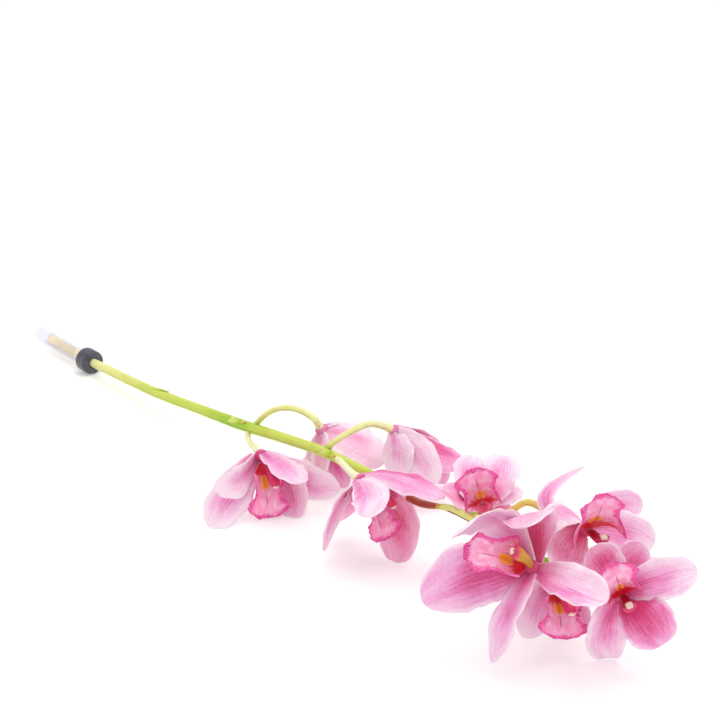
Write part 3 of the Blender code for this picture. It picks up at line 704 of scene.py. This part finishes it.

# How orange the rachis is inside the tube, from its cut end to the cap; where orange it also glows
# with painted light
RACHIS_ORANGE = ((14, 0.9), (20, 0.75), (30, 0.4), (52, 0.35), (58, 0.45), (64, 0.0))

# Tones of each pedicel: where it leaves the rachis, just past that, and at the bloom
PEDICEL_TONE_PLACES = (0.0, 0.16, 1.0)
PEDICEL_TONES = {
    "a": (0.25, 0.06, 0.02), "b": (0.35, 0.14, 0.04), "c": (0.88, 0.10, 0.05),
    "d": (0.2, 0.02, 0.0), "e": (0.30, 0.35, 0.3), "f": (0.20, 0.60, 0.66),
    "g": (0.5, 0.66, 0.66), "h": (0.45, 0.4, 0.3), "i": (0.4, 0.3, 0.3),
}


def table_at(places, table):
    """Values of a table of (place, value) rows at the given places."""
    return np.interp(places, [place for place, _ in table], [value for _, value in table])


def rachis_part():
    """The rachis, a little thicker at its bracts."""
    line = rachis_line(RACHIS_RINGS)
    height, past, reach = 0.03, 2, 5
    swell = sum(np.exp(-((line[:, 0] - start - past) / reach) ** 2) for start, _, _ in BRACTS)
    radii = rachis_radius(line[:, 0]) * RACHIS_SLIM
    part = loft_part(line, radii * (1 + height * swell), RACHIS_SIDES)
    x = part.points[:, 0]
    tone = table_at(x, RACHIS_TONES)
    # Painted shade: along this run the side that faces down takes the ramp's dark purple last tone
    run = (np.clip((x - SHADED_RUN[0]) / SHADED_RUN_IN, 0, 1)
           * np.clip((SHADED_RUN[1] - x) / SHADED_RUN_IN, 0, 1))
    below, fade = 0.1, 0.25
    under = np.clip((-below - part.values["top"]) / fade, 0, 1) * run
    part.values["tone"] = np.where(under > 0.5, 1.0, tone)
    part.values["orange"] = table_at(x, RACHIS_ORANGE)
    return part


def pedicel_part(name, bl):
    """From the heart of the rachis to the boss; its far half is the ribbed ovary."""
    turn, straight, reach, full = 0.5, 4.0, 1.5, 0.93
    start, _ = rachis_at(bl.leaves)
    passes = [np.array(p, float) for p in bl.passes]
    approach = unit(unit(bl.at - passes[-1]) + turn * bl.facing)
    end = bl.at - approach * (BOSS_RADIUS + 2 * GAP)
    corners = smooth_path([start] + passes + [end - approach * straight, end],
                          PEDICEL_CAD_RINGS)
    route = smooth_path(list(corners) + [bl.at - approach * reach], PEDICEL_RINGS)
    spread = np.linspace(0, 1, PEDICEL_RINGS)
    radii = np.interp(spread, np.linspace(0, full, len(PEDICEL_RADII)), PEDICEL_RADII)

    def shape(angle, share):
        height, count, begin, run_in = 0.05, 6, 0.4, 0.3
        ribs = 1 + height * np.cos(count * angle) * np.clip((share - begin) / run_in, 0, 1)
        return ribs, ribs

    part = loft_part(route, radii * PEDICEL_SLIM, PEDICEL_SIDES, shape=shape)
    part.values["tone"] = np.interp(part.values["along"], PEDICEL_TONE_PLACES,
                                    PEDICEL_TONES[name])
    return part


def bract_part(x, lean, length):
    """A small scale leaf: rooted in the rachis, its tip just off it."""
    lean = unit((0, *lean))
    depth, lift, tip, width = 1.2, 1.5, 0.5, 2.3
    centres, radii = [], []
    for t in np.linspace(0, 1, BRACT_RINGS):
        at, radius = rachis_at(x + length * t)
        centres.append(at + lean * (radius - depth + lift * t))
        radii.append(tip + width * (1 - t ** 2))
    part = loft_part(centres, radii, PEDICEL_SIDES, lean,
                     lambda angle, share: (1.0, BRACT_FLATNESS))
    root, added = 0.2, 0.62
    part.values["tone"] = root + added * part.values["along"] ** 2
    return part


def turned_part(profile, ends_on_axis):
    """A body turned round the tube's axis from (x, radius) points."""
    points = []
    for x, r in profile:
        for k in range(TURNED_SIDES):
            a = 2 * math.pi * (k + 0.5) / TURNED_SIDES
            points.append((x, r * math.sin(a), AXIS_HEIGHT + r * math.cos(a)))
    rings = len(profile)
    spans = rings - 1 if ends_on_axis else rings
    return part_of(points, ring_faces(rings, TURNED_SIDES, spans))


def round_off(corners):
    """A closed profile from (x, radius, rounding) corners."""
    out = []
    n = len(corners)
    for i in range(n):
        here = np.array(corners[i][:2], float)
        before = np.array(corners[i - 1][:2], float) - here
        after = np.array(corners[(i + 1) % n][:2], float) - here
        room = [np.linalg.norm(edge) / ROUNDING_LIMIT for edge in (before, after)]
        cut = min(corners[i][2], *room)
        a = here + unit(before) * cut
        b = here + unit(after) * cut
        for t in np.linspace(0, 1, ROUNDING_STEPS + 1):
            out.append(tuple((1 - t) ** 2 * a + 2 * t * (1 - t) * here + t ** 2 * b))
    return out


# Materials: a value is a number, a colour out of 255 or another node's output

class Material:
    """A plain surface to build on; soak is how much light soaks in, over reach metres."""

    def __init__(self, name, roughness, soak=0.0, reach=0.003):
        self.made = bpy.data.materials.new(name)
        self.made.use_nodes = True
        self.tree = self.made.node_tree
        self.inputs = self.tree.nodes["Principled BSDF"].inputs
        self.inputs["Roughness"].default_value = roughness
        if soak:
            self.inputs["Subsurface Weight"].default_value = soak
            self.inputs["Subsurface Radius"].default_value = SOAK
            self.inputs["Subsurface Scale"].default_value = reach

    def put(self, socket, value):
        if isinstance(value, bpy.types.NodeSocket):
            self.tree.links.new(value, socket)
        elif isinstance(value, tuple):
            socket.default_value = linear(value)
        else:
            socket.default_value = value

    def node(self, kind, *values, **named):
        """A new node, with values for its first inputs or for those of the given names."""
        made = self.tree.nodes.new("ShaderNode" + kind)
        for key, value in (*enumerate(values), *named.items()):
            self.put(made.inputs[key], value)
        return made

    def calc(self, operation, a, b=0.0):
        node = self.node("Math", a, b)
        node.operation = operation
        return node.outputs[0]

    def plus(self, total, *more):
        for value in more:
            total = self.calc("ADD", total, value)
        return total

    def times(self, product, *more):
        for value in more:
            product = self.calc("MULTIPLY", product, value)
        return product

    def scaled(self, value, by, shift):
        return self.plus(self.times(value, by), shift)

    def blend(self, share, a, b):
        node = self.node("Mix")
        node.data_type = "RGBA"
        for place, value in ((0, share), (6, a), (7, b)):
            self.put(node.inputs[place], value)
        return node.outputs[2]

    def attribute(self, name):
        node = self.node("Attribute")
        node.attribute_name = name
        return node.outputs["Fac"]

    def attributes(self, *names):
        return [self.attribute(name) for name in names]

    def rise(self, value, start, end):
        """0 at start and 1 at end, whichever of them is larger, and smooth between them."""
        node = self.node("MapRange", value, min(start, end), max(start, end),
                         float(start > end), float(start < end))
        node.interpolation_type = "SMOOTHSTEP"
        return node.outputs[0]

    def place(self):
        return self.node("TexCoord").outputs["Object"]

    def noise(self, scale, detail=2.0, stretch=(1, 1, 1), place=None):
        """Noise in the object's space, or at the given place."""
        size = self.node("Mapping", place or self.place())
        size.inputs["Scale"].default_value = stretch
        return self.node("TexNoise", size.outputs[0], Scale=scale, Detail=detail).outputs[0]

    def blade_noise(self, across_scale, along_scale, detail=2.0):
        """Noise in the blade's own directions, so that it can run along the veins."""
        scales = (across_scale, along_scale, 37.0)
        parts = map(self.times, self.attributes("across", "along", "seed"), scales)
        return self.noise(1.0, detail, place=self.node("CombineXYZ", *parts).outputs[0])

    def veins(self, count, sharpness):
        """Lines that run along a blade and wander a little."""
        drift = self.times(self.calc("SUBTRACT", self.blade_noise(1.5, 3.0), 0.5), 0.12)
        turn = self.times(self.plus(self.attribute("across"), drift), math.pi * count)
        return self.calc("POWER", self.scaled(self.calc("COSINE", turn), 0.5, 0.5), sharpness)

    def ramp(self, value, stops):
        node = self.node("ValToRGB", value)
        while len(node.color_ramp.elements) < len(stops):
            node.color_ramp.elements.new(0.5)
        for element, (place, colour) in zip(node.color_ramp.elements, stops):
            element.position = place
            element.color = linear(colour)
        return node.outputs[0]

    def finished(self, tint, height, relief):
        """The material with its colour, and with fine relief that stands relief metres high."""
        self.put(self.inputs["Base Color"], tint)
        bump = self.node("Bump", Distance=relief, Height=height)
        self.put(self.inputs["Normal"], bump.outputs[0])
        return self.made


def petal_material():
    """Pink that deepens along the wash and at the root, the root partly as painted shade of the
    hollow, with veins, streaks and a pale margin.
    """
    mat = Material("petal", 0.5, 0.3)
    along, across, inner = mat.attributes("along", "across", "inner")
    flush, rose, lean = mat.attributes("flush", "rose", "lean")
    off_middle = mat.calc("ABSOLUTE", across)
    off_wash = mat.calc("ABSOLUTE", mat.calc("SUBTRACT", across, lean))
    before_tip = mat.rise(along, 1.04, 0.5)
    lines = mat.plus(mat.times(mat.veins(13, 5.0), 0.7), mat.times(mat.veins(29, 3.0), 0.4))
    lines = mat.times(lines, mat.rise(off_middle, 1.0, 0.5), before_tip,
                      mat.rise(mat.blade_noise(2.0, 4.0), 0.25, 0.65))
    cloud = mat.blade_noise(1.8, 2.4, 3.0)
    streaks = mat.blade_noise(15.0, 2.4, 4.0)
    grain = mat.noise(700, 3.0)
    wash = mat.times(mat.rise(off_wash, 0.95, 0.05), before_tip)
    # Deeper at the root of the inner face: partly the tepal's own colour, partly painted shade of
    # the flower's hollow
    root = mat.times(mat.rise(along, 0.45, 0.0), mat.scaled(inner, 0.75, 0.15))
    # What makes the pink deeper or paler: how strongly, and what is taken off to balance it
    shares = ((wash, 0.5, -0.25), (cloud, 0.9, -0.45), (streaks, 0.55, -0.27),
              (grain, 0.35, -0.17), (lines, 0.3, 0.0), (root, 0.45, 0.0), (inner, 0.12, -0.12))
    tone = mat.plus(flush, *(mat.scaled(*share) for share in shares))
    tint = mat.blend(rose, mat.ramp(tone, PETAL_RAMP), mat.ramp(tone, ROSE_RAMP))
    tint = mat.blend(mat.times(root, mat.scaled(rose, 0.5, 0.3)), tint, PETAL_ROOT_AND_SHADE)
    ragged = mat.plus(off_middle, mat.scaled(mat.blade_noise(3.0, 9.0, 3.0), 0.3, -0.15))
    tint = mat.blend(mat.times(mat.rise(ragged, 0.82, 1.0), 0.6), tint, PETAL_RIM)
    height = mat.plus(mat.times(lines, -0.6), mat.times(streaks, 0.8),
                      mat.times(mat.noise(1500, 1.0), 0.3))
    return mat.finished(tint, height, relief=0.00025)


def lip_dots(mat, along, edge):
    """Dots in patches near the margin."""
    cells = mat.node("TexVoronoi", mat.place(), Scale=620.0)
    band = mat.times(mat.rise(edge, 0.6, 0.72), mat.rise(along, 0.28, 0.45))
    patches = mat.rise(mat.noise(130, 1.0), 0.44, 0.52)
    return mat.times(mat.rise(cells.outputs["Distance"], 0.42, 0.2), band, patches)


def lip_material():
    """Rosy inside, with veins, a striped red throat, keels, a magenta margin and dots."""
    mat = Material("lip", 0.42, 0.3)
    along, across, inner, edge = mat.attributes("along", "across", "inner", "edge")
    off_middle = mat.calc("ABSOLUTE", across)
    patches = mat.noise(260, 3.0)
    lines = mat.times(mat.veins(17, 3.0), mat.rise(edge, 0.95, 0.5),
                      mat.rise(mat.blade_noise(3.0, 6.0), 0.35, 0.65))
    ragged = mat.plus(edge, mat.scaled(mat.noise(380, 3.0), 0.55, -0.27))
    margin = mat.times(mat.rise(ragged, 0.62, 0.86), mat.rise(along, 0.22, 0.42))
    pale = mat.times(mat.rise(patches, 0.42, 0.7), mat.rise(along, 0.35, 0.6))
    throat_end = mat.plus(along, mat.scaled(mat.noise(300, 2.0), 0.16, -0.08))
    stripes = mat.times(mat.veins(9, 4.0), mat.rise(along, 0.5, 0.26))
    keels = mat.times(mat.rise(off_middle, 0.21, 0.15), mat.rise(along, 0.2, 0.28),
                      mat.rise(along, 0.53, 0.47))
    line = mat.times(mat.rise(off_middle, 0.04, 0.015), mat.rise(along, 0.52, 0.6),
                     mat.rise(along, 0.86, 0.7))
    face = mat.blend(mat.rise(patches, 0.3, 0.7), LIP_DEEP, LIP_INSIDE)
    # Marks on the inner face from the lowest layer to the top one, with how strongly they cover
    marks = ((lines, 0.45, LIP_VEIN), (pale, 0.6, LIP_PALE), (stripes, 0.7, THROAT),
             (mat.rise(throat_end, 0.34, 0.16), 1.0, THROAT), (margin, 0.85, LIP_MARGIN),
             (keels, 1.0, LIP_KEEL), (line, 0.75, LIP_LINE),
             (lip_dots(mat, along, edge), 0.85, LIP_SPOT))
    for mark, cover, colour in marks:
        face = mat.blend(mat.times(mark, cover), face, colour)
    back = mat.blend(mat.times(lines, 0.5), LIP_OUTSIDE, LIP_VEIN)
    back = mat.blend(mat.rise(along, 0.5, 0.2), back, LIP_INSIDE)
    back = mat.blend(mat.times(margin, 0.7), back, LIP_MARGIN)
    height = mat.plus(mat.times(lines, -0.5), mat.times(mat.noise(900, 2.0), 0.6))
    return mat.finished(mat.blend(inner, back, face), height, relief=0.00025)


def column_material():
    """Magenta above and dark below; gold is how golden its root is."""
    mat = Material("column", 0.38, 0.2)
    along, top, gold = mat.attributes("along", "top", "gold")
    tint = mat.blend(mat.rise(mat.noise(300, 2.0), 0.35, 0.7), COLUMN_BACK, COLUMN_DEEP)
    tint = mat.blend(mat.rise(top, 0.1, -0.5), tint, COLUMN_UNDER_AND_SHADE)
    tint = mat.blend(mat.times(mat.rise(along, 0.78, 0.5), gold), tint, COLUMN_GOLD)
    return mat.finished(tint, mat.noise(900, 2.0), relief=0.00015)


def anther_material():
    """Cream with a rosy mottle; where shade is 1 it takes painted shade, as dark as the column's
    underside.
    """
    mat = Material("anther", 0.35, 0.3)
    tint = mat.blend(mat.times(mat.rise(mat.noise(500, 2.0), 0.4, 0.7), 0.6), ANTHER, ANTHER_ROSY)
    tint = mat.blend(mat.attribute("shade"), tint, COLUMN_UNDER_AND_SHADE)
    return mat.finished(tint, mat.noise(1200, 1.0), relief=0.0001)


# Tones of the stem: pale, fresh green, darker green, golden, brown, and the purple of the painted
# shade under the rachis
STEM_RAMP = (
    (0.0, (242, 240, 200)), (0.12, (234, 230, 146)), (0.34, (198, 212, 74)), (0.45, (172, 200, 44)),
    (0.55, (150, 196, 20)), (0.66, (240, 204, 108)), (0.78, (214, 160, 56)), (0.86, (196, 120, 50)),
    (0.93, (180, 84, 44)), (0.975, (160, 66, 44)), (1.0, (104, 44, 60)),
)


def stem_material():
    """The stem's ramp by tone, orange in places and glowing there with painted light, with flecks
    and fine ribs along it.
    """
    mat = Material("stem", 0.4, 0.15, 0.002)
    orange = mat.attribute("orange")
    drift = mat.times(mat.calc("SUBTRACT", mat.noise(60, 3.0, (0.35, 1, 1)), 0.5), 0.12)
    hue = mat.ramp(mat.plus(mat.attribute("tone"), drift), STEM_RAMP)
    ribs = mat.calc("SINE", mat.times(mat.attribute("turn"), 2 * math.pi * 14))
    flecks = mat.rise(mat.noise(420, 3.0, (0.2, 1, 1)), 0.45, 0.75)
    tint = mat.blend(mat.times(flecks, 0.18), hue, STEM_FLECK)
    tint = mat.blend(orange, tint, STEM_ORANGE_AND_GLOW)
    # Painted glow: the orange cut end in the tube shines, though it is no lamp
    mat.put(mat.inputs["Emission Color"], mat.blend(orange, UNLIT, STEM_ORANGE_AND_GLOW))
    mat.inputs["Emission Strength"].default_value = STEM_PAINTED_GLOW
    height = mat.plus(mat.times(ribs, 0.25), mat.noise(700, 3.0, (0.3, 1, 1)))
    return mat.finished(tint, height, relief=0.0002)


def clear_material(name, tint, alpha):
    """Thin clear stuff: see-through but for alpha, with a gloss."""
    mat = Material(name, 0.06)
    haze = mat.rise(mat.noise(110, 2.0), 0.3, 0.75)
    deeper = tuple(c - HAZE_STEP for c in tint)
    mat.put(mat.inputs["Base Color"], mat.blend(haze, tint, deeper))
    mat.inputs["Alpha"].default_value = alpha
    return mat.made


def rubber_material():
    """Black with patches that are worn a little paler and duller."""
    mat = Material("cap", 0.36)
    wear = mat.rise(mat.noise(240, 4.0), 0.35, 0.75)
    mat.put(mat.inputs["Roughness"], mat.scaled(wear, 0.1, 0.28))
    tint = mat.blend(wear, RUBBER, RUBBER_WORN)
    return mat.finished(tint, mat.noise(1600, 2.0), relief=0.0001)


# Blooms whose column is golden at its root, and those whose anther cap takes painted shade of the
# throat
GOLDEN = ("f",)
SHADED = ("e",)


def heart_part(bl):
    """The round heart that the tepals grow from, deep pink in front, partly as painted shade of the
    hollow, and pale behind.
    """
    axes = (bl.facing, bl.dorsal, bl.side)
    heart = ball_part(bl.at, axes, HEART_RADII, seed=HEART_SEED, along=0.05, flush=0.35, rose=0.3)
    heart.values["inner"] = ((heart.points - bl.at) @ bl.facing > 0).astype(float)
    return heart


def build_blooms():
    petal, lip, column = petal_material(), lip_material(), column_material()
    anther = anther_material()
    for order, (name, bl) in enumerate(BLOOMS.items()):
        node = f"bloom_{name}"
        tepals = [tepal_part(bl, spec, (order * BLOOM_SEED + k * TEPAL_SEED) % 1.0)
                  for k, spec in enumerate(bl.tepals)]
        tepals.append(heart_part(bl))
        make_piece(f"tepals_{name}", tepals, [petal], f"{node}_tepals")
        make_piece(f"lip_{name}", [lip_part(bl, order * LIP_SEED)], [lip], f"{node}_lip")
        parts = column_parts(bl, float(name in GOLDEN), float(name in SHADED))
        make_piece(f"column_{name}", parts, [column, anther], f"{node}_column")


def build_stem():
    parts = [rachis_part()]
    parts += [pedicel_part(name, bl) for name, bl in BLOOMS.items()]
    parts += [bract_part(*spec) for spec in BRACTS]
    make_piece("stem_grown", parts, [stem_material()], "stem")


def dome(start, length, radius):
    """The profile of a round end, from the axis to its full radius."""
    angles = np.linspace(0, math.pi / 2, DOME_STEPS)
    return [(start + length * (1 - math.cos(a)), radius * math.sin(a)) for a in angles]


def build_tube():
    """The tube, the water in it and the cap on it."""
    inside = TUBE_RADIUS - TUBE_WALL
    end = TUBE_START + DOME_LENGTH
    hollow = dome(TUBE_START + TUBE_WALL, DOME_LENGTH - TUBE_WALL, inside)
    tube = turned_part(dome(TUBE_START, DOME_LENGTH, TUBE_RADIUS)
                       + [(TUBE_END, TUBE_RADIUS), (TUBE_END, inside)] + hollow[::-1], True)
    clear = clear_material("tube plastic", TUBE_PLASTIC, alpha=0.13)
    make_piece("clear_tube", [tube], [clear], "water_tube")
    wet = inside - FIT
    bottom = TUBE_START + TUBE_WALL + FIT
    cut = RACHIS[0][0] - FIT
    round_cut = [(WATER_END, wet), (WATER_END, HOLE_RADIUS), (cut, HOLE_RADIUS), (cut, 0)]
    water = turned_part(dome(bottom, end - bottom, wet) + round_cut, True)
    clear = clear_material("clear water", WATER, alpha=0.04)
    make_piece("tube_water", [water], [clear], "water")
    seat = TUBE_RADIUS + FIT
    shoulder = TUBE_END + FIT
    outside = [(CAP_START, AXIS_HEIGHT, CAP_ROUNDING), (CAP_END, AXIS_HEIGHT, CAP_ROUNDING)]
    bore = [(CAP_END, HOLE_RADIUS, BORE_ROUNDING), (shoulder, HOLE_RADIUS, SEAT_ROUNDING),
            (shoulder, seat, SEAT_ROUNDING), (CAP_START, seat, BORE_ROUNDING)]
    cap = turned_part(round_off(outside + bore), False)
    make_piece("cap_rubber", [cap], [rubber_material()], "rubber_cap")


def build_floor():
    mesh = bpy.data.meshes.new("floor")
    corners = [(-1, -1), (1, -1), (1, 1), (-1, 1)]
    mesh.from_pydata([(FLOOR_REACH * x, FLOOR_REACH * y, -FLOOR_DROP) for x, y in corners],
                     [], [(0, 1, 2, 3)])
    mat = Material("pale table", 0.7)
    mat.inputs["Base Color"].default_value = (FLOOR_TONE, FLOOR_TONE, FLOOR_TONE, 1)
    mat.inputs["Specular IOR Level"].default_value = 0.1
    mat.inputs["Emission Color"].default_value = (1, 1, 1, 1)
    mat.inputs["Emission Strength"].default_value = 0.23
    mesh.materials.append(mat.made)
    add_object("floor", mesh)


def direction_angles(way):
    """Rotation of a light or camera that looks along way with its top up."""
    return Vector(way).to_track_quat("-Z", "Y").to_euler()


def build_light():
    world = bpy.data.worlds.new("studio")
    world.use_nodes = True
    sky = world.node_tree.nodes["Background"].inputs
    sky["Color"].default_value = SKY
    sky["Strength"].default_value = 0.88
    bpy.context.scene.world = world
    data = bpy.data.lights.new("overhead", "AREA")
    data.shape = "DISK"
    data.size = 1.3
    data.energy = 8.0
    lamp = add_object("overhead", data)
    lamp.location = LAMP_PLACE
    lamp.rotation_euler = direction_angles(np.subtract(LAMP_AIM, LAMP_PLACE))
    bpy.context.scene.view_settings.view_transform = "Standard"


def build_camera():
    data = bpy.data.cameras.new("camera")
    data.lens = 80.0
    data.sensor_width = 36.0
    data.clip_start = 0.01
    camera = add_object("camera", data)
    camera.location = [float(c) for c in (np.array(CAMERA_PLACE) + SHIFT) * MM]
    camera.rotation_euler = direction_angles(seen(0, 0, -1))
    bpy.context.scene.camera = camera


build_camera()
build_light()
build_floor()
build_stem()
build_tube()
build_blooms()
